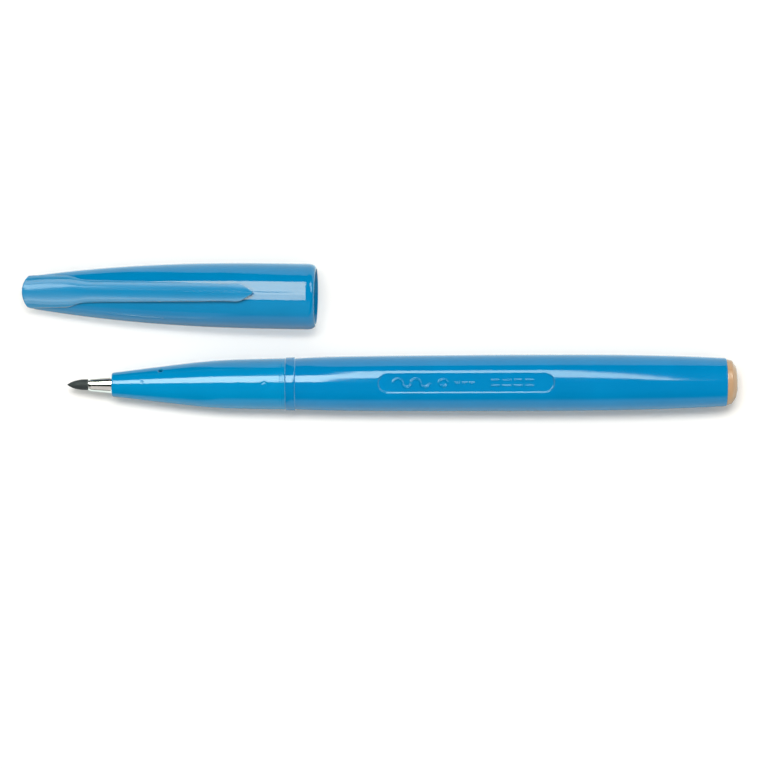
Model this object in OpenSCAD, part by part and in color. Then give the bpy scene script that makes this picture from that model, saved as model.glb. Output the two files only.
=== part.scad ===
// Fibre-tip calligraphy marker, uncapped, with its cap lying beside it.
// The barrel lies along +X with the writing point towards -X. The cap lies on the +Y side.
// The table is z = 0. All sizes are in millimetres.

/* [Barrel] */
// Length from the writing point to the flat end of the tail plug
pen_length = 123.5; // [118:0.5:130]
// Largest diameter of the barrel, over its straight stretch
barrel_d = 10.44; // [10.2:0.02:10.8]
// Diameter of the barrel just behind the stop ring
barrel_front_d = 9.56; // [9.4:0.02:9.8]
// Diameter of the barrel at its tail end, before the edge is rounded
barrel_tail_d = 9.1; // [8.9:0.05:9.4]
// Inner diameter of the barrel tube
barrel_bore_d = 7.8; // [7.6:0.05:8]
// Diameter of the stop ring that the cap closes against
ring_d = 9.92; // [9.8:0.02:10.1]
// Width of the stop ring along the barrel
ring_w = 1.7; // [1.4:0.1:2.2]
// Tilt of the lying barrel, tail end up, in degrees
pen_pitch = 0.63; // [0.4:0.01:0.9]

/* [Panel] */
// Length of the sunken panel on top of the barrel
panel_l = 32.3; // [24:0.1:33]
// Width of the sunken panel
panel_w = 3.65; // [3:0.05:4.2]
// Depth of the sunken panel below the barrel surface
panel_depth = 0.16; // [0.1:0.02:0.3]

/* [Grip section] */
// Diameter of the grip section where the ferrule comes out
grip_front_d = 4.5; // [4.4:0.05:4.8]
// Diameter of the grip section where it meets the stop ring
grip_rear_d = 9.56; // [9.4:0.02:9.7]
// Distance from the writing point to the front of the grip section
grip_start = 8.03; // [7.5:0.05:9]
// Distance from the writing point to the stop ring
grip_end = 40.3; // [39:0.1:41]
// Diameter of the air vent in the grip section
vent_d = 0.8; // [0.6:0.05:1]

/* [Writing point] */
// Diameter of the fibre point
nib_d = 2; // [1.9:0.02:2.1]
// Length of fibre point that stands out of the ferrule
nib_l = 3.7; // [3:0.1:4.2]
// Diameter of the ferrule at its front rim
ferrule_front_d = 2.5; // [2.4:0.02:2.7]
// Diameter of the ferrule where it enters the grip section
ferrule_rear_d = 3.3; // [3.1:0.02:3.5]

/* [Tail plug] */
// Diameter of the plug's visible button
plug_d = 8.2; // [7.9:0.05:8.4]
// Height of the plug's visible button
plug_h = 2.1; // [1.6:0.1:2.6]

/* [Ink reservoir] */
// Diameter of the fibre bundle
reservoir_d = 6.1; // [5.6:0.05:6.1]
// Thickness of the film sleeve around the bundle
film_t = 0.15; // [0.1:0.01:0.18]
// Length of the bundle and its sleeve
reservoir_l = 83; // [60:1:83]

/* [Cap] */
// Length of the cap
cap_length = 54.3; // [53:0.1:56]
// Diameter of the cap at its mouth
cap_d = 12.1; // [11.9:0.05:12.4]
// Diameter that the cap tapers to at its closed end
cap_end_d = 5.6; // [5.4:0.05:6]
// Wall thickness of the cap
cap_wall = 0.92; // [0.8:0.02:1]
// Tilt of the lying cap, mouth end up, in degrees
cap_pitch = 3.2; // [2.8:0.1:3.6]
// Turn of the lying cap on the table, in degrees
cap_yaw = -1.2; // [-2:0.1:0]
// Roll of the clip away from straight up, in degrees
cap_roll = -3; // [-4:0.5:0]

/* [Clip] */
// Width of the clip's saddle at the closed end of the cap
clip_base_w = 6; // [5.6:0.1:6]
// Width of the clip's arm at its neck
clip_arm_w = 4.06; // [3.8:0.02:4.2]
// Thickness of the clip's arm
clip_t = 1.2; // [1:0.05:1.3]
// Height of the arm's crest above the cap's axis
clip_crest = 7.9; // [7.9:0.05:8.3]

/* [Hidden] */
smooth = 96;
origin_x = -57.5;
barrel_y = -8.5;
barrel_r = barrel_d / 2;
front_r = barrel_front_d / 2;
tail_r = barrel_tail_d / 2;
ring_r = ring_d / 2;
ring_end = grip_end + ring_w;
tube_end = pen_length - plug_h;
straight_start = 80;
straight_end = 100.5;
front_power = 1.8;
tail_power = 1.25;
pen_rest = 62.8;
tail_edge = 0.7;
panel_x = 73.35;
// Share of the grip's length against share of its growth in radius.
grip_swell = [[0, 0], [0.16, 0.23], [0.33, 0.5], [0.45, 0.66], [0.56, 0.8], [0.68, 0.9], [0.79, 0.95], [1, 1]];
spigot_end = grip_end + 9.5;
chamber_d = 6.5;
chamber_start = 27.6;
ferrule_end = 16;
rod_d = 1.9;
rod_end = 34;
rod_bore_d = 2.4;
reservoir_start = 28;
vent_x = 16.96;
vent_turn = -50;
dimple_x = 13.6;
dimple_turn = -7;
plug_stem_l = 8;
plug_stem_d = 7.8;
plug_cup_d = 6;
cap_r = cap_d / 2;
cap_end_r = cap_end_d / 2;
cap_power = 2.4;
cap_full = 51;
cap_nose = 0.9;
cap_lip = 1.1;
cap_mouth_x = -11.7;
cap_y = 8.17;
cap_mid = 27.3;
cap_rest = 26;
bore_start = 8.5;
bore_straight = 46;
clip_arch = 183;
clip_crest_x = 40;
clip_crown = 2.46;
base_crown = 3.4;
base_slope = 13;
pivot_x = 10.6;
pivot_gap = 0.07;
pivot_z = clip_crest - (clip_crest_x - pivot_x) * (clip_crest_x - pivot_x) / (2 * clip_arch) - clip_t / 2;
tip_x = 42.4;
bead_x = 39.4;
bead_r = 0.8;
blue = [0.02, 0.53, 0.75];
clip_blue = [0.1, 0.57, 0.77];

// Radius of the barrel's outside at a distance s from the writing point.
function barrel_radius(s) =
    s < straight_start
        ? front_r + (barrel_r - front_r) * (1 - pow(1 - (s - ring_end) / (straight_start - ring_end), front_power))
    : s < straight_end
        ? barrel_r
        : barrel_r - (barrel_r - tail_r) * pow((s - straight_end) / (tube_end - straight_end), tail_power);

// Radius of the grip section's outside at a distance s from the writing point.
function grip_radius(s) =
    (grip_front_d + (grip_rear_d - grip_front_d) * lookup((s - grip_start) / (grip_end - grip_start), grip_swell)) / 2;

// Radius of the cap's outside at a distance u from its closed end.
function cap_radius(u) =
    u >= cap_full ? cap_r : cap_end_r + (cap_r - cap_end_r) * (1 - pow(1 - u / cap_full, cap_power));

// Solid of revolution about +X. The outline's points are [distance along X, radius].
module turned(outline) {
    rotate([0, 90, 0])
        rotate_extrude($fn = smooth)
            polygon([for (p = outline) [p[1], p[0]]]);
}

// Round bar or hole along +X.
module bar(start, end, d) {
    translate([start, 0, 0])
        rotate([0, 90, 0])
            cylinder(h = end - start, d = d, $fn = smooth);
}

// The barrel lies on the part of its belly that is under its centre of mass.
module place_pen() {
    translate([origin_x + pen_rest, barrel_y, barrel_radius(pen_rest) * cos(pen_pitch) + 0.004])
        rotate([0, -pen_pitch, 0])
            translate([-pen_rest, 0, 0])
                children();
}

// The cap lies on its own curved side, so its lowest point touches the table.
module place_cap() {
    rest_height = cap_radius(cap_rest) * cos(cap_pitch) + 0.004;
    translate([cap_mouth_x - cap_length + cap_mid, cap_y, rest_height + (cap_mid - cap_rest) * sin(cap_pitch)])
        rotate([0, -cap_pitch, cap_yaw])
            rotate([cap_roll, 0, 0])
                translate([-cap_mid, 0, 0])
                    children();
}

module nib() {
    r = nib_d / 2;
    color([0.13, 0.15, 0.16])
        place_pen()
            turned([[0, 0], [0.25, 0.34 * r], [0.8, 0.8 * r], [1.5, 0.95 * r], [2.4, r], [nib_l, r],
                    [nib_l, rod_d / 2], [rod_end, rod_d / 2], [rod_end, 0]]);
}

module ferrule() {
    front_r = ferrule_front_d / 2;
    rear_r = ferrule_rear_d / 2;
    bore_r = rod_d / 2;
    rim = 0.12;
    color([0.83, 0.83, 0.82])
        place_pen()
            turned([[nib_l, bore_r], [nib_l, front_r - rim], [nib_l + rim, front_r], [nib_l + 0.5, front_r],
                    [nib_l + 0.8, front_r + 0.08], [grip_start - 0.6, rear_r - 0.03], [grip_start, rear_r],
                    [ferrule_end, rear_r], [ferrule_end, bore_r]]);
}

// Outside of the grip section, with the two low ridges that the cap snaps over.
function grip_outline() = concat(
    [[grip_start, grip_front_d / 2 - 0.2], [grip_start + 0.2, grip_front_d / 2]],
    [for (i = [1 : 6]) [grip_start + grip_swell[i][0] * (grip_end - grip_start),
                        grip_radius(grip_start + grip_swell[i][0] * (grip_end - grip_start))]],
    [for (c = [39.3, 39.8]) for (p = [[-0.12, 0], [0, 0.05], [0.12, 0]])
        [c + p[0] + grip_end - 40.3, grip_radius(c + grip_end - 40.3) + p[1]]],
    [[grip_end, grip_rear_d / 2 - 0.03]]);

module front_section() {
    spigot_r = barrel_bore_d / 2;
    chamber_r = chamber_d / 2;
    color(blue)
        place_pen()
            difference() {
                turned(concat(
                    grip_outline(),
                    [[grip_end, spigot_r], [spigot_end, spigot_r], [spigot_end, chamber_r],
                     [chamber_start, chamber_r], [chamber_start - 3, rod_bore_d / 2],
                     [ferrule_end, rod_bore_d / 2], [ferrule_end, ferrule_rear_d / 2],
                     [grip_start, ferrule_rear_d / 2]]));
                // Air vent, drilled through to the space behind the ferrule.
                translate([vent_x, 0, 0])
                    rotate([vent_turn, 0, 0])
                        cylinder(h = barrel_r, d = vent_d, $fn = 24);
                // Shallow moulding dimple.
                translate([dimple_x, 0, 0])
                    rotate([dimple_turn, 0, 0])
                        translate([0, 0, grip_radius(dimple_x) + 0.35])
                            sphere(r = 0.5, $fn = 24);
            }
}

// Generic ornament that stays raised inside the panel: a brush wave, a ring and two rows of dashes.
module panel_motif() {
    wave_r = 0.95;
    line = 0.26;
    for (i = [0 : 3])
        translate([-12.5 + i * (2 * wave_r - line), 0])
            intersection() {
                difference() {
                    circle(r = wave_r, $fn = 32);
                    circle(r = wave_r - line, $fn = 32);
                }
                translate([-wave_r, i % 2 == 0 ? 0 : -wave_r])
                    square([2 * wave_r, wave_r]);
            }
    translate([-4.2, 0])
        difference() {
            circle(r = 0.85, $fn = 32);
            circle(r = 0.55, $fn = 32);
        }
    for (i = [0 : 2])
        translate([-2 + i * 1.3, -0.15])
            square([0.8, 0.3]);
    for (row = [-0.62, 0.38])
        for (i = [0 : 3])
            translate([4.6 + i * 2.1, row])
                square([1.5, 0.24]);
}

module panel_outline() {
    half = (panel_l - panel_w) / 2;
    square([2 * half, panel_w], center = true);
    for (side = [-1, 1])
        translate([side * half, 0])
            circle(d = panel_w, $fn = 48);
}

// Points of the barrel's outside, sunk by the given depth.
function barrel_outline(sink) = concat(
    [for (i = [0 : 7]) let (s = ring_end + i * (straight_start - ring_end) / 7) [s, barrel_radius(s) - sink]],
    [for (i = [0 : 7]) let (s = straight_end + i * (tube_end - tail_edge - straight_end) / 7)
        [s, barrel_radius(s) - sink]]);

module barrel() {
    bore_r = barrel_bore_d / 2;
    soft = 0.22;
    edge = [for (a = [30, 60, 90]) [tube_end - tail_edge + tail_edge * sin(a),
                                    barrel_radius(tube_end - tail_edge) - tail_edge * (1 - cos(a))]];
    color(blue)
        place_pen()
            difference() {
                turned(concat(
                    [[grip_end, bore_r], [grip_end, ring_r - soft], [grip_end + 0.06, ring_r - soft / 3],
                     [grip_end + soft, ring_r], [ring_end - soft, ring_r], [ring_end - 0.06, ring_r - soft / 3]],
                    barrel_outline(0),
                    edge,
                    [[tube_end, bore_r]]));
                // Sunken panel, as deep all over, with the ornament left standing.
                intersection() {
                    translate([panel_x, 0, 0])
                        linear_extrude(height = 2 * barrel_r)
                            difference() {
                                panel_outline();
                                panel_motif();
                            }
                    difference() {
                        bar(ring_end, tube_end, 3 * barrel_r);
                        turned(concat([[ring_end, 0]], barrel_outline(panel_depth), [[tube_end - tail_edge, 0]]));
                    }
                }
            }
}

module tail_plug() {
    r = plug_d / 2;
    stem_r = plug_stem_d / 2;
    stem_start = tube_end - plug_stem_l;
    soft = 0.6;
    color([0.85, 0.77, 0.66])
        place_pen()
            difference() {
                turned([[stem_start, 0], [stem_start, stem_r - 0.3], [stem_start + 0.5, stem_r], [tube_end, stem_r],
                        [tube_end, r], [pen_length - soft - 0.5, r - 0.1], [pen_length - soft, r - 0.22],
                        [pen_length - 0.2, r - soft], [pen_length, r - 1.1], [pen_length, 0]]);
                // Hollow of the moulding, open towards the ink reservoir.
                bar(stem_start - 1, tube_end, plug_cup_d);
            }
}

module reservoir_fibre() {
    color([0.3, 0.32, 0.35])
        place_pen()
            difference() {
                bar(reservoir_start, reservoir_start + reservoir_l, reservoir_d);
                bar(reservoir_start - 1, rod_end, rod_d);
            }
}

module reservoir_film() {
    color([0.9, 0.92, 0.93])
        place_pen()
            difference() {
                bar(reservoir_start, reservoir_start + reservoir_l, reservoir_d + 2 * film_t);
                bar(reservoir_start - 1, reservoir_start + reservoir_l + 1, reservoir_d);
            }
}

// Points of the cap's outside, from the closed end to the mouth.
function cap_outline() = concat(
    [[cap_nose, 0], [cap_nose, 1.7], [cap_nose + 0.35, 2.3], [cap_nose + 1.1, cap_radius(cap_nose + 1.1) - 0.05]],
    [for (u = [4, 8, 12, 16, 20, 24, 28, 32, 37, 43]) [u, cap_radius(u)]],
    [[cap_length - cap_lip, cap_r]],
    [for (a = [30, 60, 90]) [cap_length - cap_lip + cap_lip * sin(a), cap_r - 0.75 * cap_lip * (1 - cos(a))]]);

// Points of the cap's inside, from the mouth back to the closed end, with a low snap rib near the mouth.
function bore_outline() = let (mouth_r = cap_r - cap_wall) concat(
    [[cap_length, mouth_r + 0.05], [cap_length - 0.25, mouth_r], [cap_length - 1.2, mouth_r],
     [cap_length - 1.4, mouth_r - 0.1], [cap_length - 1.6, mouth_r], [bore_straight, mouth_r]],
    [for (u = [40, 34, 29, 24, 20, 16, 12, bore_start]) [u, cap_radius(u) - cap_wall]],
    [[bore_start, 0]]);

module cap_shell() {
    color(blue)
        place_cap()
            turned(concat(cap_outline(), bore_outline()));
}

module inner_cap() {
    color([0.86, 0.88, 0.88])
        place_cap()
            turned([[bore_start, 0], [bore_start, 2.2], [bore_start + 0.8, 2.9], [13, 3.1], [13, 3.44],
                    [14.4, 3.58], [14.4, 3.1], [24, 3.2], [27.5, 3.4], [27.5, 2.95], [26, 2.75],
                    [10.4, 2.5], [10, 0]]);
}

// Outline of the clip's saddle and neck seen from above, from the closed end towards the mouth.
module base_plan() {
    half = clip_base_w / 2;
    neck = clip_arm_w / 2;
    intersection() {
        translate([4.7, 0])
            circle(r = 4.7, $fn = smooth);
        translate([0, -half])
            square([3, 2 * half]);
    }
    polygon([[1.7, -half], [8.4, 0.15 - half], [9.4, 0.4 - half], [10.6, -neck - 0.15], [12, -neck],
             [12, neck], [10.6, neck + 0.15], [9.4, half - 0.4], [8.4, half - 0.15], [1.7, half]]);
}

module clip_base() {
    root_r = clip_t / 2 + pivot_gap;
    neck_top = pivot_z + clip_t / 2;
    drop = pivot_x * tan(base_slope);
    color(clip_blue)
        place_cap()
            difference() {
                intersection() {
                    translate([0, 0, -0.6])
                        linear_extrude(height = 12)
                            base_plan();
                    // Crowned top that climbs from the closed end to the neck.
                    translate([0, 0, neck_top - drop - base_crown / cos(base_slope)])
                        rotate([0, 90 - base_slope, 0])
                            translate([0, 0, -5])
                                cylinder(h = 20, r = base_crown, $fn = smooth);
                }
                turned(concat(cap_outline(), [[cap_length, 0]]));
                // Round seat and free space for the arm's root.
                translate([pivot_x, 0, pivot_z])
                    rotate([90, 0, 0])
                        cylinder(h = 12, r = root_r, center = true, $fn = 48);
                translate([pivot_x, -6, pivot_z - 6])
                    cube([6, 12, 12]);
            }
}

// Outline of the clip's arm seen from above, ending in a leaf-shaped tip.
module arm_plan() {
    neck = clip_arm_w / 2;
    slim = 0.78 * neck;
    side = [[pivot_x - 2, neck], [12.8, neck], [20, 0.93 * neck], [32, 0.84 * neck], [38, slim],
            [39.4, slim + 0.1], [40.4, 0.7 * neck], [41.4, 0.4 * neck]];
    polygon(concat(
        side,
        [[tip_x, 0]],
        [for (i = [len(side) - 1 : -1 : 0]) [side[i][0], -side[i][1]]]));
}

module clip_arm() {
    outer = clip_arch - clip_crown;
    color(clip_blue)
        place_cap()
            intersection() {
                linear_extrude(height = 12)
                    arm_plan();
                union() {
                    // Crowned arm, bent to a long arch.
                    difference() {
                        translate([clip_crest_x, 0, clip_crest - clip_arch])
                            rotate([90, 0, 0])
                                rotate([0, 0, 80])
                                    rotate_extrude(angle = 20, $fn = 360)
                                        translate([outer, 0])
                                            circle(r = clip_crown, $fn = smooth);
                        translate([clip_crest_x, 0, clip_crest - clip_arch])
                            rotate([90, 0, 0])
                                cylinder(h = 12, r = clip_arch - clip_t, center = true, $fn = 360);
                        translate([pivot_x - 4, -6, 0])
                            cube([4, 12, 12]);
                    }
                    // Round root at the neck.
                    intersection() {
                        translate([pivot_x, 0, pivot_z])
                            rotate([90, 0, 0])
                                cylinder(h = 12, r = clip_t / 2, center = true, $fn = 48);
                        translate([pivot_x, 0, pivot_z + clip_t / 2 - clip_crown])
                            rotate([0, 90, 0])
                                cylinder(h = 4, r = clip_crown, center = true, $fn = smooth);
                    }
                    // Bead under the tip that presses on the pocket's cloth.
                    translate([bead_x, 0, cap_radius(bead_x) + 0.1 + bead_r])
                        sphere(r = bead_r, $fn = 48);
                }
            }
}

nib();
ferrule();
front_section();
barrel();
tail_plug();
reservoir_fibre();
reservoir_film();
cap_shell();
inner_cap();
clip_base();
clip_arm();
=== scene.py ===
import math

import bpy
import numpy as np
from mathutils import Matrix, Vector


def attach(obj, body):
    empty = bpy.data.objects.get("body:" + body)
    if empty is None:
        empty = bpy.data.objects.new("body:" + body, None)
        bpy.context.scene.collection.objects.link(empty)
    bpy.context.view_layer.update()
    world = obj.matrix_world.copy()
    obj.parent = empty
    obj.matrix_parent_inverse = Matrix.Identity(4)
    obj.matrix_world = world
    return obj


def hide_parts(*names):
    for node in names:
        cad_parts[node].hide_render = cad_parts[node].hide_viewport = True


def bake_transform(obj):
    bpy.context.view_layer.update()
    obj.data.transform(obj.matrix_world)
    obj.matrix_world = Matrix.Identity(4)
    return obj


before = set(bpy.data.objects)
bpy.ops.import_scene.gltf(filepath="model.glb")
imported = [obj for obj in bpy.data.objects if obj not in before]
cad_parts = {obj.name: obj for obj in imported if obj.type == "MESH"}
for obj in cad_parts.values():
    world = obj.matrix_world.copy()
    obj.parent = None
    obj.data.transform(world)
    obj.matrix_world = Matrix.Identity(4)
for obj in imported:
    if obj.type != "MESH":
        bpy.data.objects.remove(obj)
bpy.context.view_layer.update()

MM = 0.001
DEG = math.pi / 180


# ---------------------------------------------------------------- places


def turn(axis, degrees):
    return Matrix.Rotation(degrees * DEG, 4, axis)


def shift(x, y, z):
    return Matrix.Translation((x, y, z))


def barrel_r(s):
    """Radius of the barrel at a distance s from the writing point, in mm."""
    s = np.asarray(s, float)
    near = np.clip((84 - s) / 42, 0, None)
    rear = 0.78 * np.clip((s - 84) / 37.4, 0, None) ** 2.9
    return 5.22 - 0.27 * near**2 - 0.24 * near**12 - rear


def grip_r(s):
    """Radius of the grip section: a straight cone that levels out towards the ring."""
    s = np.asarray(s, float)
    knee, soft, start = 27.04, 2.2, 8.27
    run = s - start
    bend = soft * (np.log1p(np.exp((s - knee) / soft)) - np.log1p(np.exp((start - knee) / soft)))
    return (4.4 + 0.037 * run + 0.21 * (run - bend)) / 2


def cap_r(u):
    """Radius of the cap at a distance u from its closed end."""
    run = np.asarray(u, float) / 51
    swell = 0.06 * np.sin(np.clip(run, 0, 1) * math.pi)
    return 2.8 + 3.25 * (1 - np.clip(1 - run, 0, None) ** 2.4) + swell


# The pen rests on its flank at PEN_REST from the writing point, with its tail a little raised. The cap rests on
# its flank at CAP_REST from the closed end, with its mouth a little raised, and is placed by CAP_MID. Lengths are
# in mm and angles in degrees.
PEN_PITCH = 0.63
PEN_REST = 62.8
CAP_PITCH, CAP_YAW, CAP_ROLL = 3.2, -1.2, -3.0
CAP_REST, CAP_MID = 26.0, 27.3
TABLE_GAP = 0.004
PEN = (
    Matrix.Scale(MM, 4)
    @ shift(PEN_REST - 57.74, -8.5, 5.1145)
    @ turn("Y", -PEN_PITCH)
    @ shift(-PEN_REST, 0, 0)
)
cap_height = float(cap_r(CAP_REST)) * math.cos(CAP_PITCH * DEG) + TABLE_GAP
cap_height = cap_height + (CAP_MID - CAP_REST) * math.sin(CAP_PITCH * DEG)
CAP = (
    Matrix.Scale(MM, 4)
    @ shift(-38.48, 8.05, cap_height)
    @ turn("Z", CAP_YAW)
    @ turn("Y", -CAP_PITCH)
    @ turn("X", CAP_ROLL)
    @ shift(-CAP_MID, 0, 0)
)


# ---------------------------------------------------------------- mesh tools


def mesh_object(name, verts, faces, place):
    mesh = bpy.data.meshes.new(name)
    mesh.from_pydata([tuple(v) for v in verts], [], faces)
    mesh.transform(place)
    mesh.update()
    mesh.validate()
    mesh.shade_smooth()
    obj = bpy.data.objects.new(name, mesh)
    bpy.context.scene.collection.objects.link(obj)
    return obj


def rounded(corners, steps=6):
    """Outline through (x, r, fillet) corners, each corner with a fillet turned into an arc."""
    out = []
    for i, (x, r, f) in enumerate(corners):
        p = np.array([x, r])
        if f == 0 or i == 0 or i == len(corners) - 1:
            out.append(p)
            continue
        a = np.array(corners[i - 1][:2]) - p
        b = np.array(corners[i + 1][:2]) - p
        la, lb = np.linalg.norm(a), np.linalg.norm(b)
        a, b = a / la, b / lb
        half = math.acos(float(np.clip(a @ b, -1, 1))) / 2
        cut = min(f / math.tan(half), 0.49 * la, 0.49 * lb)
        f = cut * math.tan(half)
        mid = (a + b) / np.linalg.norm(a + b)
        centre = p + mid * (f / math.sin(half))
        u = (p + a * cut) - centre
        v = (p + b * cut) - centre
        sweep = math.acos(float(np.clip((u @ v) / (f * f), -1, 1)))
        for k in range(steps + 1):
            t = k / steps
            w = (math.sin((1 - t) * sweep) * u + math.sin(t * sweep) * v) / math.sin(sweep)
            out.append(centre + w)
    return np.array(out)


def even_angles(count):
    return np.linspace(0, 2 * math.pi, count, endpoint=False)


def dense_angles(spots, base):
    """Angles round a section: base evenly spaced ones, and closer ones in each (centre, half width, step)."""
    kept = [
        a for a in np.linspace(-math.pi, math.pi, base, endpoint=False)
        if all(abs(a - c) > h + 0.6 * 2 * math.pi / base for c, h, _ in spots)
    ]
    for c, h, step in spots:
        count = max(2, int(round(2 * h / step)))
        kept += list(np.linspace(c - h, c + h, count + 1))
    return np.array(sorted(kept))


def dense_stations(start, end, step, spots):
    """Stations from start to end, with closer ones inside each (low, high, step) stretch."""
    marks = sorted({start, end, *[v for lo, hi, _ in spots for v in (lo, hi)]})
    out = [start]
    for lo, hi in zip(marks[:-1], marks[1:]):
        mid = (lo + hi) / 2
        fine = min([st for a, b, st in spots if a <= mid <= b] + [step])
        count = max(1, int(math.ceil((hi - lo) / fine)))
        out += list(np.linspace(lo, hi, count + 1)[1:])
    return np.array(out)


def revolve(name, outline, angles, place, closed=False, relief=None):
    """Surface of revolution about the local X axis. Angle 0 is up, and angles grow towards +Y.

    relief(s, angle, r) is added to the radius. An outline that starts or ends on the axis gets one pole there.
    """
    outline = np.asarray(outline, float)
    s = outline[:, 0][:, None] + 0 * angles[None, :]
    r = outline[:, 1][:, None] + 0 * angles[None, :]
    if relief is not None:
        r = r + relief(s, angles[None, :] + 0 * s, r)
    grid = np.stack([s, r * np.sin(angles)[None, :], r * np.cos(angles)[None, :]], axis=-1)
    n, m = s.shape
    verts, index = [], np.zeros((n, m), int)
    for i in range(n):
        if not closed and i in (0, n - 1) and outline[i, 1] < 1e-9:
            index[i, :] = len(verts)
            verts.append((outline[i, 0], 0, 0))
        else:
            index[i, :] = np.arange(m) + len(verts)
            verts.extend(grid[i])
    faces = []
    for i in range(n if closed else n - 1):
        k = (i + 1) % n
        for j in range(m):
            l = (j + 1) % m
            face = [index[i, j], index[k, j], index[k, l], index[i, l]]
            face = [int(v) for q, v in enumerate(face) if v not in face[:q]]
            if len(face) > 2:
                faces.append(face)
    return mesh_object(name, verts, faces, place)


def smooth(t):
    t = np.clip(t, 0, 1)
    return t * t * (3 - 2 * t)


def curve_through(points):
    """Smooth monotone curve through (x, y) points."""
    x, y = np.array(points, float).T
    h = np.diff(x)
    slope = np.diff(y) / h
    m = np.zeros_like(y)
    m[0], m[-1] = slope[0], slope[-1]
    for i in range(1, len(x) - 1):
        if slope[i - 1] * slope[i] > 0:
            w1, w2 = 2 * h[i] + h[i - 1], h[i] + 2 * h[i - 1]
            m[i] = (w1 + w2) / (w1 / slope[i - 1] + w2 / slope[i])

    def value(q):
        q = np.asarray(q, float)
        i = np.clip(np.searchsorted(x, q) - 1, 0, len(x) - 2)
        t = np.clip((q - x[i]) / h[i], 0, 1)
        a, b = (1 + 2 * t) * (1 - t) ** 2, t * t * (3 - 2 * t)
        c, d = t * (1 - t) ** 2, t * t * (t - 1)
        return a * y[i] + b * y[i + 1] + h[i] * (c * m[i] + d * m[i + 1])

    return value


# ---------------------------------------------------------------- materials


class Nodes:
    """Short hand for building a material's node tree."""

    def __init__(self, name):
        self.material = bpy.data.materials.new(name)
        self.material.use_nodes = True
        self.tree = self.material.node_tree
        self.tree.nodes.clear()
        self.out = self.tree.nodes.new("ShaderNodeOutputMaterial")
        self.shader = self.tree.nodes.new("ShaderNodeBsdfPrincipled")
        self.link(self.shader.outputs[0], self.out.inputs[0])

    def link(self, a, b):
        self.tree.links.new(a, b)

    def new(self, kind, values=None, **props):
        node = self.tree.nodes.new("ShaderNode" + kind)
        for key, value in props.items():
            setattr(node, key, value)
        for key, value in (values or {}).items():
            node.inputs[key].default_value = value
        return node

    def place(self, scale=(1, 1, 1)):
        """Object coordinates in millimetres, scaled."""
        coord = self.new("TexCoord")
        mapping = self.new("Mapping", {"Scale": tuple(1000 * v for v in scale)})
        self.link(coord.outputs["Object"], mapping.inputs["Vector"])
        return mapping.outputs[0]

    def noise(self, where, scale, detail=3.0, rough=0.5):
        node = self.new("TexNoise", {"Scale": scale, "Detail": detail, "Roughness": rough})
        self.link(where, node.inputs["Vector"])
        return node.outputs["Fac"]

    def ramp(self, source, lo, hi, a, b):
        """source from lo to hi becomes a to b."""
        node = self.new("MapRange", {"From Min": lo, "From Max": hi, "To Min": a, "To Max": b})
        self.link(source, node.inputs["Value"])
        return node.outputs[0]

    def math(self, how, a, b):
        node = self.new("Math", operation=how)
        for i, v in enumerate((a, b)):
            if isinstance(v, (int, float)):
                node.inputs[i].default_value = v
            else:
                self.link(v, node.inputs[i])
        return node.outputs[0]

    def mix(self, factor, a, b):
        node = self.new("Mix", data_type="RGBA")
        node.inputs[6].default_value = (*a, 1)
        node.inputs[7].default_value = (*b, 1)
        self.link(factor, node.inputs[0])
        return node.outputs[2]

    def bump(self, height, distance, strength=1.0):
        node = self.new("Bump", {"Distance": distance * MM, "Strength": strength})
        self.link(height, node.inputs["Height"])
        self.link(node.outputs[0], self.shader.inputs["Normal"])


def plastic(name, dark, light, roughness, ior=1.4, wave=0.0, grain=0.0):
    """Moulded plastic: faint colour drift, light handling marks in the gloss, and a hint of sink and grain."""
    n = Nodes(name)
    s = n.shader.inputs
    where = n.place()
    along = n.place((0.05, 1, 1))
    n.link(n.mix(n.ramp(n.noise(where, 0.16, 4), 0.3, 0.7, 0, 1), dark, light), s["Base Color"])
    marks = n.ramp(n.noise(along, 5.0, 5, 0.65), 0.5, 0.8, 0, roughness * 0.25)
    smudge = n.ramp(n.noise(where, 0.22, 3), 0.4, 0.75, roughness, roughness * 1.25)
    n.link(n.math("ADD", marks, smudge), s["Roughness"])
    s["IOR"].default_value = ior
    sinks = n.math("MULTIPLY", n.noise(where, 0.25, 2), wave)
    n.bump(n.math("ADD", sinks, n.math("MULTIPLY", n.noise(where, 14, 4), grain)), 1.0)
    return n.material


def paint_hole_shade(material, centre, inner, outer):
    """Paints shade into the colour: fades it to near black inside a small sphere, so that a blind hole reads as a
    deep one.
    """
    tree = material.node_tree
    shader = tree.nodes["Principled BSDF"]
    source = shader.inputs["Base Color"].links[0].from_socket
    coord = tree.nodes.new("ShaderNodeTexCoord")
    reach = tree.nodes.new("ShaderNodeVectorMath")
    reach.operation = "DISTANCE"
    reach.inputs[1].default_value = centre
    fade = tree.nodes.new("ShaderNodeMapRange")
    for socket, level in (("From Min", inner), ("From Max", outer), ("To Min", 0.97), ("To Max", 0.0)):
        fade.inputs[socket].default_value = level
    mix = tree.nodes.new("ShaderNodeMix")
    mix.data_type = "RGBA"
    # The near-black colour of the painted shade.
    mix.inputs[7].default_value = (0.0, 0.01, 0.03, 1)
    tree.links.new(coord.outputs["Object"], reach.inputs[0])
    tree.links.new(reach.outputs["Value"], fade.inputs["Value"])
    tree.links.new(fade.outputs[0], mix.inputs[0])
    tree.links.new(source, mix.inputs[6])
    tree.links.new(mix.outputs[2], shader.inputs["Base Color"])


def metal(name):
    n = Nodes(name)
    s = n.shader.inputs
    s["Metallic"].default_value = 1
    rings = n.noise(n.place((9, 1, 1)), 1.2, 4)
    n.link(n.mix(n.noise(n.place(), 0.8, 3), (0.74, 0.73, 0.71), (0.84, 0.83, 0.81)), s["Base Color"])
    n.link(n.ramp(rings, 0.3, 0.7, 0.1, 0.17), s["Roughness"])
    n.bump(rings, 0.004)
    return n.material


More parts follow.
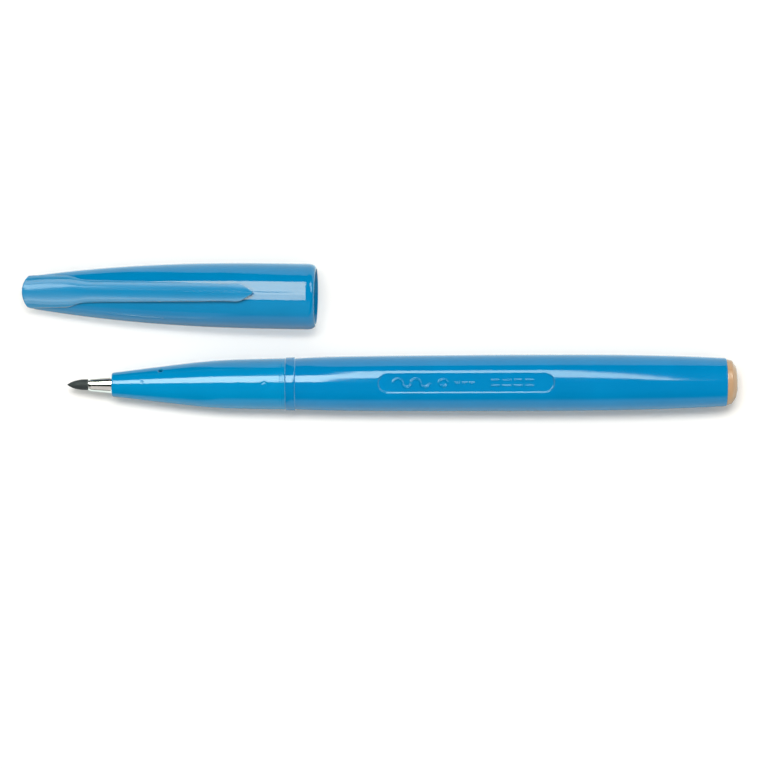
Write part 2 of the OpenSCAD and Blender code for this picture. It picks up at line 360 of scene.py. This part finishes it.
def fibre(name, dark, light):
    """Bonded fibre: streaks along the axis and a matt, slightly fuzzy surface."""
    n = Nodes(name)
    s = n.shader.inputs
    streak = n.noise(n.place((0.35, 5, 5)), 1.6, 6, 0.7)
    fluff = n.noise(n.place(), 9, 5, 0.7)
    both = n.math("ADD", n.math("MULTIPLY", streak, 0.6), n.math("MULTIPLY", fluff, 0.4))
    n.link(n.mix(n.ramp(both, 0.35, 0.65, 0, 1), dark, light), s["Base Color"])
    n.link(n.ramp(fluff, 0.3, 0.7, 0.55, 0.8), s["Roughness"])
    s["Sheen Weight"].default_value = 0.04
    s["Specular IOR Level"].default_value = 0.25
    n.bump(both, 0.05)
    return n.material


body_blue = plastic("body_blue", (0.0, 0.188, 0.415), (0.0, 0.204, 0.445), 0.07, wave=0.008, grain=0.0003)
section_blue_and_vent_shade = plastic(
    "section_blue_and_vent_shade", (0.0, 0.22, 0.45), (0.0, 0.237, 0.48), 0.07, wave=0.008, grain=0.0003
)
cap_blue = plastic("cap_blue", (0.0, 0.19, 0.405), (0.0, 0.205, 0.435), 0.06, wave=0.005, grain=0.0003)
clip_blue = plastic("clip_blue", (0.0, 0.2, 0.405), (0.0, 0.215, 0.435), 0.2, wave=0.004, grain=0.0008)
gloss = clip_blue.node_tree.nodes["Principled BSDF"].inputs
gloss["Coat Weight"].default_value = 0.3
gloss["Coat Roughness"].default_value = 0.08
plug_tan = plastic("plug_tan", (0.44, 0.27, 0.145), (0.49, 0.3, 0.165), 0.2, wave=0.01, grain=0.001)
liner_white = plastic("liner_white", (0.74, 0.77, 0.78), (0.82, 0.84, 0.85), 0.4, wave=0.01, grain=0.001)
ferrule_metal = metal("ferrule_metal")
nib_fibre = fibre("nib_fibre", (0.006, 0.009, 0.01), (0.043, 0.052, 0.052))
bundle_fibre = fibre("bundle_fibre", (0.05, 0.06, 0.075), (0.13, 0.14, 0.16))
film_clear = plastic("film_clear", (0.75, 0.78, 0.8), (0.82, 0.85, 0.86), 0.25)


def finish_piece(obj, material, body, node):
    obj.data.materials.clear()
    obj.data.materials.append(material)
    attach(obj, body)
    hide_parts(node)


# ---------------------------------------------------------------- writing point


nib_s = 3.3 * np.linspace(0, 1, 26) ** 1.6
nib_profile = [(0.0, 0.0)] + [(x, 0.98 * (1 - (1 - x / 3.3) ** 2) ** 0.8) for x in nib_s[1:]]
nib_profile += [(3.88, 0.985), (3.94, 0.95), (34.0, 0.95), (34.0, 0.0)]


def nib_relief(s, a, r):
    wobble = 0.012 * np.sin(7 * a + 1.3 * s) + 0.009 * np.sin(13 * a - 2.1 * s + 1)
    return wobble * smooth(s / 0.8) * (s < 3.85)


nib = revolve("pen_nib", nib_profile, even_angles(72), PEN, relief=nib_relief)
finish_piece(nib, nib_fibre, "pen", "nib")

ferrule_profile = rounded(
    [
        (4.1, 0.97, 0), (3.9, 0.99, 0.05), (3.92, 1.1, 0.06), (4.08, 1.17, 0.05), (4.16, 1.15, 0.05),
        (4.4, 1.26, 0.12), (7.9, 1.62, 0.3), (8.1, 1.65, 0.05), (16.0, 1.65, 0.05), (16.0, 0.97, 0),
    ]
)
ferrule = revolve("pen_ferrule", ferrule_profile, even_angles(96), PEN, closed=True)
finish_piece(ferrule, ferrule_metal, "pen", "ferrule")


# ---------------------------------------------------------------- grip section


# The vent, the dimple and the mark of the mould's gate, each as a distance from the writing point and an angle.
VENT = (17.33, 50 * DEG)
DIMPLE = (13.97, 10 * DEG)
GATE = (36.5, -3.5 * DEG)
SECTION_FRONT = 8.27
BORE_R, SPIGOT_R = 1.66, 3.9


def spot(s, a, r, centre):
    return np.hypot(s - centre[0], r * (a - centre[1]))


def grip_relief(s, a, r):
    outside = (r > 1.02 * SPIGOT_R) | ((s < 26) & (r > 2.1))
    sink = 1.1 * smooth((0.46 - spot(s, a, r, VENT)) / 0.08)
    sink = sink + 0.06 * smooth((0.38 - spot(s, a, r, DIMPLE)) / 0.3)
    sink = sink + 0.08 * smooth(1 - np.abs(spot(s, a, r, GATE) - 0.58) / 0.2)
    return -sink * outside


fine_stretches = [(13.45, 14.5, 0.06), (16.8, 17.9, 0.045), (35.85, 37.15, 0.06), (39.0, 40.1, 0.035)]
grip_s = dense_stations(8.75, 40.1, 0.8, fine_stretches)
ridges = 0.018 * (smooth(1 - np.abs(grip_s - 39.3) / 0.12) + smooth(1 - np.abs(grip_s - 39.75) / 0.12))
grip_outer = np.stack([grip_s, grip_r(grip_s) + ridges], axis=1)
grip_front = rounded(
    [(8.6, 1.68, 0), (SECTION_FRONT, 1.68, 0.05), (SECTION_FRONT, 2.2, 0.4), (8.9, float(grip_r(8.9)), 0)]
)[:-1]
grip_back = rounded(
    [
        (40.0, float(grip_r(40.0)), 0), (40.26, 4.77, 0.06), (40.27, 4.64, 0), (40.3, 4.62, 0),
        (40.3, SPIGOT_R, 0), (49.8, SPIGOT_R, 0.15), (49.8, 3.25, 0.1), (27.6, 3.25, 0.1),
        (24.6, 1.2, 0.1), (16.0, 1.2, 0.05), (16.0, BORE_R, 0.05), (8.6, BORE_R, 0),
    ]
)[1:-1]
grip_profile = np.concatenate([grip_front, grip_outer, grip_back])
grip_angles = dense_angles([(VENT[1], 0.22, 0.018), (DIMPLE[1] - 1 * DEG, 0.24, 0.022)], 120)
VENT_DEPTH = 0.35
vent_r = float(grip_r(VENT[0])) - VENT_DEPTH
vent_at = PEN @ Vector((VENT[0], vent_r * math.sin(VENT[1]), vent_r * math.cos(VENT[1])))
# Painted shade: the section's colour fades to near black inside the vent hole, so that it reads as a deep one.
paint_hole_shade(section_blue_and_vent_shade, vent_at, 0.00034, 0.0005)
section = revolve("pen_section", grip_profile, grip_angles, PEN, closed=True, relief=grip_relief)
finish_piece(section, section_blue_and_vent_shade, "pen", "front_section")


# ---------------------------------------------------------------- barrel


PANEL_MID, PANEL_HALF, PANEL_R, PANEL_SINK = 73.5, 16.15, 1.825, 0.14
ORNAMENT_HEIGHT = 0.18
STROKE = 0.2
RING_FRONT, TUBE_START, TUBE_END, TAIL = 40.31, 42.4, 120.2, 121.4


def motif(x, t):
    """Signed distance to the raised ornament: a brush wave, a ring and rows of dashes. Negative is inside."""
    best = np.full(x.shape, 9.0)
    for i in range(4):
        c = -12.5 + 1.64 * i
        side = t if i % 2 == 0 else -t
        arc = np.abs(np.hypot(x - c, t) - 0.82) - STROKE
        best = np.minimum(best, np.where(side >= 0, arc, 9.0))
    best = np.minimum(best, np.abs(np.hypot(x + 4.2, t) - 0.72) - STROKE)
    bars = [(-1.6 + 1.35 * i, 0.0, 0.42, 0.22) for i in range(3)]
    bars += [(5.35 + 2.1 * i, row, 0.75, 0.17) for row in (-0.54, 0.54) for i in range(4)]
    for bx, bt, hx, ht in bars:
        best = np.minimum(best, np.maximum(np.abs(x - bx) - hx, np.abs(t - bt) - ht))
    return best


def barrel_relief(s, a, r):
    a = (a + math.pi) % (2 * math.pi) - math.pi
    x, t = s - PANEL_MID, r * a
    inside = (r > 4.3) & (np.abs(x) < 17) & (np.abs(t) < 2.4)
    edge = np.hypot(np.clip(np.abs(x) - PANEL_HALF + PANEL_R, 0, None), t) - PANEL_R
    floor = smooth((0.08 - edge) / 0.22)
    raised = smooth((0.1 - motif(x, t)) / 0.3)
    flat = np.clip(PANEL_R**2 - t**2, 0, None) / (2 * r)
    return (-(PANEL_SINK + flat) + ORNAMENT_HEIGHT * raised) * floor * inside


tube_s = dense_stations(42.35, 120.4, 1.1, [(56.9, 89.8, 0.085)])
tube = np.stack([tube_s, barrel_r(tube_s)], axis=1)
ring_front = rounded(
    [
        (41.0, SPIGOT_R, 0), (RING_FRONT, SPIGOT_R, 0.05), (RING_FRONT, 4.87, 0.1),
        (42.0, 4.965, 0.1), (42.1, 4.72, 0.1), (TUBE_START, float(barrel_r(TUBE_START)), 0),
    ]
)[1:-1]
tail_end = rounded(
    [
        (TUBE_END, float(barrel_r(TUBE_END)), 0), (TAIL, float(barrel_r(TAIL)), 0.62),
        (TAIL, SPIGOT_R, 0.08), (41.0, SPIGOT_R, 0),
    ],
    10,
)[1:]
barrel_profile = np.concatenate([ring_front, tube, tail_end])
barrel_angles = dense_angles([(0.0, 0.375, 0.0165)], 108)
barrel = revolve("pen_barrel", barrel_profile, barrel_angles, PEN, closed=True, relief=barrel_relief)
finish_piece(barrel, body_blue, "pen", "barrel")

plug_profile = rounded(
    [
        (TAIL, 0.0, 0), (113.4, 0.0, 0), (113.4, 2.9, 0), (113.4, 3.88, 0.3), (121.38, 3.88, 0),
        (121.38, 4.18, 0.06), (121.5, 4.2, 0.1), (122.35, 4.02, 0.5), (123.1, 2.9, 0.7),
        (123.38, 1.6, 2.2), (123.42, 0.0, 0),
    ],
    8,
)[1:]
plug = revolve("pen_plug", plug_profile, even_angles(120), PEN)
finish_piece(plug, plug_tan, "pen", "tail_plug")


# ---------------------------------------------------------------- cap


WALL, MOUTH_R = 0.92, 5.13
RIM_START, MOUTH = 52.55, 54.05
cap_s = dense_stations(2.2, RIM_START, 0.8, [(2.2, 8.0, 0.4)])
cap_outer = np.stack([cap_s, cap_r(cap_s)], axis=1)
cap_nose = rounded([(0.9, 0.0, 0), (0.9, 2.6, 0.9), (2.3, float(cap_r(2.3)), 0)], 10)[:-1]
rim_turn = np.linspace(0, math.pi / 2, 13)[1:]
rim_bend = np.stack([RIM_START + 1.5 * np.sin(rim_turn), 5.25 + 0.8 * np.cos(rim_turn)], axis=1)
rim_inner = rounded(
    [
        (MOUTH, 5.26, 0), (MOUTH, MOUTH_R, 0.06), (52.9, MOUTH_R, 0), (52.75, 5.03, 0.08),
        (52.6, MOUTH_R, 0), (51.5, MOUTH_R, 0),
    ]
)[1:]
cap_rim = np.concatenate([rim_bend, rim_inner])
bore_s = np.linspace(50, 8.5, 50)
cap_bore = np.stack([bore_s, np.minimum(cap_r(bore_s) - WALL, MOUTH_R)], axis=1)
PARTING = 2.2 * DEG


def parting_line(u, a, r):
    """Faint groove where the mould halves met, on the upper side near the mouth."""
    a = (a + math.pi) % (2 * math.pi) - math.pi
    along = smooth((u - 42.2) / 0.8) * smooth((50.6 - u) / 0.8) * (r > 5.7)
    return -0.035 * smooth(1 - np.abs(r * (a - PARTING)) / 0.11) * along


cap_profile = np.concatenate([cap_nose, cap_outer, cap_rim, cap_bore, [(8.5, 0.0)]])
cap_angles = dense_angles([(PARTING, 0.026, 0.0045)], 160)
shell = revolve("cap_body", cap_profile, cap_angles, CAP, relief=parting_line)
finish_piece(shell, cap_blue, "cap", "cap_shell")

liner_profile = rounded(
    [
        (8.5, 0.0, 0), (8.5, 2.4, 0.5), (9.3, 2.95, 0.4), (13.0, 3.1, 0.1), (13.0, 3.42, 0.1),
        (14.4, 3.56, 0.1), (14.4, 3.12, 0.1), (24.0, 3.2, 1.0), (27.5, 3.4, 0.15), (27.5, 2.95, 0.15),
        (26.0, 2.75, 0.5), (10.4, 2.5, 0.5), (10.0, 0.0, 0),
    ]
)
liner = revolve("cap_liner", liner_profile, even_angles(96), CAP)
finish_piece(liner, liner_white, "cap", "inner_cap")


# ---------------------------------------------------------------- clip


# The clip by distance from the cap's closed end. The saddle runs up to CLIP_NECK. Then comes the arm, which
# swells a little near its end and runs to a point at CLIP_TIP. The whole is then stretched and moved a little.
CLIP_NECK, CLIP_TIP = 10.6, 42.42
CLIP_STRETCH, CLIP_SHIFT = 1.0115, 0.07
half_width = curve_through(
    [
        (0, 2.92), (1.2, 3.0), (5, 2.96), (8.2, 2.88), (9.4, 2.64), (CLIP_NECK, 2.3), (11.8, 2.1),
        (13.2, 2.03), (20, 1.9), (32, 1.71), (37, 1.58), (38.3, 1.6), (39.3, 1.66), (40.2, 1.5),
        (41.0, 1.14), (41.7, 0.7), (42.2, 0.34), (CLIP_TIP, 0.14),
    ]
)
crown_radius = curve_through([(0, 3.5), (8, 3.4), (13, 2.5), (37, 2.46), (40, 2.2), (CLIP_TIP, 1.6)])
clip_deep = curve_through([(0, 1.2), (36, 1.2), (40, 1.0), (CLIP_TIP, 0.62)])


def crest(u):
    """Height of the clip's top line over the cap's axis."""
    if u < CLIP_NECK:
        d = CLIP_NECK - u
        return 5.54 - 0.1607 * d - 0.00663 * d * d
    return 7.9 - (40 - u) ** 2 / 366


def clip_loop(u):
    """Cross-section of the clip at u, as (v, w) points: underside, one side, over the crown, other side."""
    h, rho, top = float(half_width(u)), float(crown_radius(u)), crest(u)
    fillet = min(0.24, 0.45 * h)
    shell_r = float(cap_r(max(u, 0.9)))
    free = float(smooth((u - 8.6) / 1.6))
    x1 = h - fillet
    for _ in range(4):
        beta = math.asin(min(0.95, x1 / rho))
        x1 = h - fillet + fillet * math.sin(beta)
    z1 = top - rho + rho * math.cos(beta)
    zc = z1 - fillet * math.cos(beta)
    seat = math.sqrt(max(shell_r**2 - h**2, 0.0)) - 0.1 - 0.55 * (1 - float(smooth(u / 2.6)))
    low = (1 - free) * seat + free * min(zc - 0.05, top - float(clip_deep(u)))
    right = []
    for k in range(6):
        v = (h - 0.1) * k / 5
        under = math.sqrt(max(shell_r**2 - v * v, 0.0)) - 0.12 - 0.5 * (1 - float(smooth(u / 2.6)))
        right.append((v, (1 - free) * min(under, low + 3 * (1 - v / h)) + free * low))
    right += [(h - 0.03, low + 0.03), (h, low + 0.1)]
    right += [(h, low + 0.1 + (zc - low - 0.1) * k / 4) for k in (1, 2, 3, 4)]
    for k in range(1, 7):
        q = math.pi / 2 - (math.pi / 2 - beta) * k / 6
        right.append((h - fillet + fillet * math.sin(q), zc + fillet * math.cos(q)))
    for k in range(1, 11):
        q = beta * (1 - k / 10)
        right.append((rho * math.sin(q), top - rho + rho * math.cos(q)))
    left = [(-v, w) for v, w in right[1:-1]][::-1]
    return np.array(right + left)


def build_clip():
    start = 0.3
    spans = ((start, 8.4, 22), (8.6, 13.4, 30), (14, 36.6, 42), (36.9, CLIP_TIP, 44))
    stations = np.concatenate([np.linspace(*span) for span in spans])
    loops = []
    first = clip_loop(start)
    centre = np.array([0.0, 0.5 * (first[:, 1].max() + first[:, 1].min())])
    reach = np.abs(first - centre).max(axis=0)

    def end_offset(v):
        return 5.4 - np.sqrt(5.4**2 - np.clip(np.abs(v), 0, 3.1) ** 2)

    soft = 0.34
    for scale in (0.0, 0.25, 0.5, 0.75):
        pts = centre + (first - centre) * (1 - soft / reach) * scale
        loops.append(np.column_stack([end_offset(pts[:, 0]), pts]))
    for k in range(7):
        q = k / 7 * math.pi / 2
        inset = soft * (1 - math.sin(q))
        pts = centre + (first - centre) * (1 - inset / reach)
        loops.append(np.column_stack([end_offset(pts[:, 0]) + soft * (1 - math.cos(q)), pts]))
    for u in stations:
        pts = clip_loop(float(u))
        fade = max(0.0, 1 - (u - start) / 6) ** 2
        loops.append(np.column_stack([u + 0.04 + end_offset(pts[:, 0]) * fade, pts]))
    last = loops[-1]
    mid = last.mean(axis=0)
    loops.append(mid + (last - mid) * 0.5 + np.array([0.04, 0, 0]))
    loops = [np.column_stack([CLIP_STRETCH * loop[:, 0] + CLIP_SHIFT, loop[:, 1:]]) for loop in loops]
    mid = loops[-2].mean(axis=0)
    m = len(first)
    verts = [tuple(loops[0].mean(axis=0))]
    for loop in loops[1:]:
        verts += [tuple(p) for p in loop]
    verts.append(tuple(mid + np.array([0.05, 0, 0])))
    faces = []
    for j in range(m):
        faces.append((0, 1 + j, 1 + (j + 1) % m))
    for i in range(len(loops) - 2):
        a, b = 1 + i * m, 1 + (i + 1) * m
        for j in range(m):
            k = (j + 1) % m
            faces.append((a + j, b + j, b + k, a + k))
    a, end = 1 + (len(loops) - 2) * m, len(verts) - 1
    for j in range(m):
        faces.append((end, a + (j + 1) % m, a + j))
    return mesh_object("cap_clip", verts, faces, CAP)


clip = build_clip()
clip.data.materials.append(clip_blue)
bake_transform(clip)
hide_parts("clip_base", "clip_arm")

BEAD_AT, BEAD_R, BEAD_GAP = 39.4, 0.8, 0.1
bead_w = float(cap_r(BEAD_AT)) + BEAD_GAP + BEAD_R
arc = np.linspace(0, math.pi, 25)
bead_profile = [(BEAD_AT - BEAD_R * math.cos(q), BEAD_R * math.sin(q)) for q in arc]
bead_profile[0] = (BEAD_AT - BEAD_R, 0.0)
bead_profile[-1] = (BEAD_AT + BEAD_R, 0.0)
bead = revolve("clip_bead", bead_profile, even_angles(48), CAP @ shift(0, 0, bead_w))
bead.data.materials.append(clip_blue)
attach(bead, "clip")

for node, material in (("reservoir_fibre", bundle_fibre), ("reservoir_film", film_clear)):
    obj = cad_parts[node]
    obj.data.materials.clear()
    obj.data.materials.append(material)


# ---------------------------------------------------------------- stage, lights and camera


FLOOR_HALF = 0.8
floor_corners = [(x * FLOOR_HALF, y * FLOOR_HALF, 0) for x, y in ((-1, -1), (1, -1), (1, 1), (-1, 1))]
floor_mesh = bpy.data.meshes.new("floor")
floor_mesh.from_pydata(floor_corners, [], [(0, 1, 2, 3)])
floor = bpy.data.objects.new("floor", floor_mesh)
bpy.context.scene.collection.objects.link(floor)
paper = Nodes("floor_paper")
paper_tone = paper.noise(paper.place(), 0.01, 2)
paper.link(paper.mix(paper_tone, (0.87, 0.85, 0.81), (0.885, 0.865, 0.825)), paper.shader.inputs["Base Color"])
paper.shader.inputs["Roughness"].default_value = 0.9
paper.shader.inputs["Specular IOR Level"].default_value = 0.1
floor_mesh.materials.append(paper.material)

world = bpy.data.worlds.new("studio")
bpy.context.scene.world = world
world.use_nodes = True
sky = world.node_tree
sky_coord = sky.nodes.new("ShaderNodeTexCoord")
sky_split = sky.nodes.new("ShaderNodeSeparateXYZ")
sky.links.new(sky_coord.outputs["Generated"], sky_split.inputs[0])


def sky_step(v, lo, hi, a=0.0, b=1.0):
    node = sky.nodes.new("ShaderNodeMapRange")
    node.interpolation_type = "SMOOTHSTEP"
    for socket, level in (("From Min", lo), ("From Max", hi), ("To Min", a), ("To Max", b)):
        node.inputs[socket].default_value = level
    sky.links.new(v, node.inputs["Value"])
    return node.outputs[0]


def sky_math(how, a, b):
    node = sky.nodes.new("ShaderNodeMath")
    node.operation = how
    for i, v in enumerate((a, b)):
        if isinstance(v, (int, float)):
            node.inputs[i].default_value = v
        else:
            sky.links.new(v, node.inputs[i])
    return node.outputs[0]


# A bright band round the horizon and below it, dark overhead. On the far side its top is highest in the middle.
# To the west it is lower on both sides. On the near side it dims towards straight down.
east, north, up = sky_split.outputs
far_top = sky_math("MULTIPLY", sky_step(east, -0.12, -0.05), sky_step(east, 0.06, 0.22, 1, 0.15))
far_top = sky_math("ADD", sky_math("MULTIPLY", far_top, 0.19), 0.03)
far_top = sky_math("SUBTRACT", far_top, sky_step(east, -0.2, -0.13, 0.3, 0))
far_glow = sky_step(sky_math("SUBTRACT", up, far_top), -0.02, 0.02, 1, 0)
near_up = sky_math("SUBTRACT", up, sky_step(east, -0.2, -0.13, -0.32, 0))
near_glow = sky_step(near_up, 0.08, 0.42, 1, 0)
near_glow = sky_math("MULTIPLY", near_glow, sky_step(up, -0.97, -0.6, 0.3, 0.82))
side = sky_step(north, -0.1, 0.1)
near_glow = sky_math("MULTIPLY", near_glow, sky_math("SUBTRACT", 1.0, side))
glow = sky_math("ADD", sky_math("MULTIPLY", far_glow, side), near_glow)
background = sky.nodes["Background"].inputs
sky.links.new(sky_math("ADD", sky_math("MULTIPLY", glow, 1.5), 0.01), background["Strength"])
background["Color"].default_value = (0.88, 1, 0.96, 1)


def area_light(
    name, at, aim, size, radiance, color=(1, 1, 1), receivers=None, blockers=None, diffuse=True, glossy=True
):
    """Rectangular light of an even radiance, seen by diffuse or glossy surfaces, or by some pieces alone.

    With blockers, those pieces alone cast its shadows.
    """
    data = bpy.data.lights.new(name, "AREA")
    data.shape = "RECTANGLE"
    data.size, data.size_y = size
    data.energy = radiance * math.pi * size[0] * size[1]
    data.color = color
    obj = bpy.data.objects.new(name, data)
    bpy.context.scene.collection.objects.link(obj)
    obj.location = at
    if tuple(aim[:2]) != tuple(at[:2]):
        obj.rotation_euler = (Vector(aim) - Vector(at)).to_track_quat("-Z", "Y").to_euler()
    obj.visible_diffuse = diffuse
    obj.visible_glossy = glossy
    obj.visible_transmission = diffuse
    for kind, linked in (("receiver", receivers), ("blocker", blockers)):
        if linked is not None:
            group = bpy.data.collections.new(f"{name}_{kind}s")
            for piece in linked:
                group.objects.link(piece)
            setattr(obj.light_linking, kind + "_collection", group)
    return obj


class LightMask:
    """Shapes a light's brightness by the place on the light, in metres."""

    def __init__(self, light):
        light.data.use_nodes = True
        self.tree = light.data.node_tree
        self.emission = next(n for n in self.tree.nodes if n.type == "EMISSION")
        where = self.tree.nodes.new("ShaderNodeNewGeometry")
        split = self.tree.nodes.new("ShaderNodeSeparateXYZ")
        self.tree.links.new(where.outputs["Position"], split.inputs[0])
        self.x, self.y = split.outputs["X"], split.outputs["Y"]

    def math(self, how, a, b=0.0):
        node = self.tree.nodes.new("ShaderNodeMath")
        node.operation = how
        for i, v in enumerate((a, b)):
            if isinstance(v, (int, float)):
                node.inputs[i].default_value = v
            else:
                self.tree.links.new(v, node.inputs[i])
        return node.outputs[0]

    def step(self, v, lo, hi, a=0.0, b=1.0, kind="SMOOTHSTEP"):
        node = self.tree.nodes.new("ShaderNodeMapRange")
        node.interpolation_type = kind
        for socket, level in (("From Min", lo), ("From Max", hi), ("To Min", a), ("To Max", b)):
            node.inputs[socket].default_value = level
        self.tree.links.new(v, node.inputs["Value"])
        return node.outputs[0]

    def set(self, *factors):
        total = factors[0]
        for f in factors[1:]:
            total = self.math("MULTIPLY", total, f)
        self.tree.links.new(total, self.emission.inputs["Strength"])


def overhead(name, at, size, radiance, color, receivers):
    """Level soft box at (x, y) over the table that only shows in reflections."""
    place = (*at, BOX_HEIGHT)
    return area_light(name, place, (*at, 0), size, radiance, color, receivers, diffuse=False)


BOX_HEIGHT = 1.2
inner = [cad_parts[node] for node in ("reservoir_fibre", "reservoir_film")]

# These are left out of reflections, so that edges and flanks mirror the even surroundings.
for piece in (shell, liner, nib, section, barrel, floor, *inner):
    piece.visible_glossy = False
pen_gloss = [section, barrel, nib, ferrule, plug]
cap_gloss = [shell, liner]
clip_gloss = [clip, bead]

# The key is two strips side by side. Only the pen casts the farther strip's shadows on the floor, so that the
# cap's shadow stays short.
CENTRE = (0, 0, 0)
KEY_RADIANCE = 25.5
far_strip = {"at": (-0.07, 0.455, 1.5), "aim": CENTRE, "size": (0.62, 0.16), "radiance": KEY_RADIANCE}
pieces = pen_gloss + cap_gloss + clip_gloss + inner
area_light("key", (-0.07, 0.28, 1.5), CENTRE, (0.62, 0.19), KEY_RADIANCE, glossy=False)
area_light("key_floor", **far_strip, receivers=[floor], blockers=pen_gloss, glossy=False)
area_light("key_pieces", **far_strip, receivers=pieces, glossy=False)
area_light("fill", (0.0, 0.0, 2.0), CENTRE, (4.0, 4.0), 1.07, glossy=False)

# The pen's highlight: a wide strip over the barrel, a narrower one nearer the axis over the section, and a taper
# to the tail.
m = LightMask(overhead("pen_box", (-0.21, 0.84), (0.96, 1.5), 17, (0.87, 1, 0.86), pen_gloss))
shelf = m.step(m.x, -0.122, -0.088)
low = m.math("ADD", m.math("MULTIPLY", shelf, 0.333), 0.143)
low = m.math("SUBTRACT", low, m.step(m.x, 0.07, 0.21, 0, 0.3))
high = m.math("ADD", m.math("MULTIPLY", shelf, 0.643), 0.887)
high = m.math("SUBTRACT", high, m.step(m.x, 0.1, 0.215, 0, 1.33, "LINEAR"))
m.set(
    m.step(m.math("SUBTRACT", m.y, low), -0.01, 0.02),
    m.step(m.math("SUBTRACT", high, m.y), -0.02, 0.05),
    m.step(m.x, -0.14, 0.0, 1.0, 0.68),
)

# The cap's highlight, split by a faint darker line and a little dimmer on the near side of it, and the weak
# lights along the cap's near flank.
m = LightMask(overhead("cap_box", (-0.49, 0.6), (0.78, 1.84), 13, (1, 0.88, 0.58), cap_gloss))
seam = m.step(m.math("ABSOLUTE", m.math("SUBTRACT", m.y, 0.04)), 0.006, 0.03, 0.7, 1.0)
m.set(seam, m.step(m.y, 0.0, 0.1, 0.82, 1.0), m.step(m.y, -0.31, -0.285), m.step(m.y, 1.5, 1.46))
overhead("cap_side", (-0.4, -1.9), (2.4, 3.0), 0.7, (0.5, 1, 0.5), cap_gloss)
low_at, low_aim = (-0.86, -1.5, 0.15), (-0.86, 0, 0.15)
area_light("cap_low", low_at, low_aim, (1.16, 0.8), 1.0, (0.84, 1, 0.95), cap_gloss, diffuse=False)

# The clip: dark along its crown and lighter to both edges, with a thin streak along the arm.
m = LightMask(overhead("clip_top", (-1.3, 0.0), (4.4, 5.4), 1.0, (1, 0.88, 0.68), clip_gloss))
valley = m.step(m.x, -0.82, -0.64, 0.7, 0.12)
sweep = m.step(m.math("ABSOLUTE", m.math("SUBTRACT", m.y, valley)), 0.0, 2.7, 0, 1, "LINEAR")
streak = m.step(m.math("ABSOLUTE", m.math("SUBTRACT", m.y, 0.53)), 0.02, 0.06, 4.0, 0)
along_arm = m.math("MULTIPLY", m.step(m.x, -0.75, -0.6), m.step(m.x, -0.45, -0.35, 1, 0))
streak = m.math("MULTIPLY", streak, along_arm)
m.set(m.math("ADD", m.math("MULTIPLY", m.math("POWER", sweep, 1.7), 5.5), streak))
edge_lights = (("clip_far", 2.7, 4.0, (1, 0.92, 0.75)), ("clip_near", -2.7, 2.8, (1, 0.9, 0.7)))
for name, y, radiance, color in edge_lights:
    area_light(name, (-1.3, y, 0.6), (-1.3, 0, 0.6), (4.6, 1.2), radiance, color, clip_gloss, diffuse=False)

# The spot on the plug's shoulder, and the light far edge and near flank of the ferrule.
area_light("plug_spot", (1.15, 0.75, BOX_HEIGHT), (0.06, 0, 0), (0.35, 0.55), 12, receivers=[plug], diffuse=False)
far_at, far_aim = (-0.5, 1.5, -0.12), (-0.5, 0, -0.12)
area_light("metal_far", far_at, far_aim, (2.0, 0.75), 0.6, (1, 0.98, 0.96), [ferrule], diffuse=False)
near_at = (-0.3, -1.3, 0.9)
area_light("metal_box", near_at, CENTRE, (2.4, 1.6), 0.7, (1, 0.97, 0.94), [ferrule], diffuse=False)

# Soft boxes off both ends, which only show as highlights on rounded ends and from other sides.
for name, x in (("wall_east", 1.15), ("wall_west", -1.15)):
    area_light(name, (x, 0.8, 1.0), CENTRE, (1.1, 0.55), 7, (0.93, 1, 0.93), pieces, diffuse=False)

# The camera looks straight down. FRAME_WIDTH, in metres, fills the picture at AXIS_HEIGHT, the pen's axis.
HEIGHT, AXIS_HEIGHT = 0.7, 0.0052
FRAME_WIDTH = 0.1414365
SENSOR = 36
camera_data = bpy.data.cameras.new("camera")
camera_data.sensor_width = SENSOR
camera_data.lens = SENSOR * (HEIGHT - AXIS_HEIGHT) / FRAME_WIDTH
camera_data.clip_start = 0.01
camera_data.clip_end = 20
camera = bpy.data.objects.new("camera", camera_data)
camera.location = (0.00066, -0.0086, HEIGHT)
camera.rotation_euler = (0, 0, -0.232 * DEG)
bpy.context.scene.collection.objects.link(camera)
bpy.context.scene.camera = camera
bpy.context.scene.view_settings.view_transform = "Standard"
